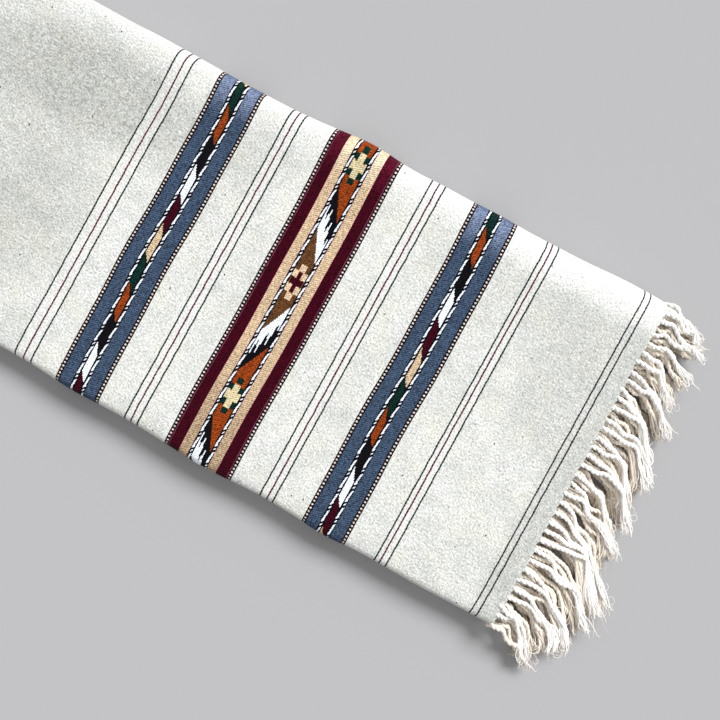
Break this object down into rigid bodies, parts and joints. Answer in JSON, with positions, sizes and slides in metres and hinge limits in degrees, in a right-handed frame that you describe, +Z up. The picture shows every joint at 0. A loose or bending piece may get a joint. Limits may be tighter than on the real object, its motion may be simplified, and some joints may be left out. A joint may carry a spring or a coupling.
{
  "type": "folded shawl",
  "caption": "Wool shawl with woven bands and twisted fringe, folded to a long flat strip that lies on a surface.",
  "frame": {"origin": "middle of the part's box, on the surface that it lies on", "axes": "+X along the strip towards the fringe, +Y across the strip towards the edge where the cloth wraps all the layers, +Z up"},
  "size_m": [1.087, 0.2706, 0.0232],
  "materials": {
    "wool_cloth": "matte fulled wool",
    "fringe_yarn": "matte twisted wool yarn"
  },
  "bodies": {
    "root": {"outer_cloth": "wool_cloth", "inner_layers": "wool_cloth", "fringe_bottom": "fringe_yarn", "fringe_lower": "fringe_yarn", "fringe_middle": "fringe_yarn", "fringe_upper": "fringe_yarn", "fringe_top": "fringe_yarn"}
  },
  "joints": []
}
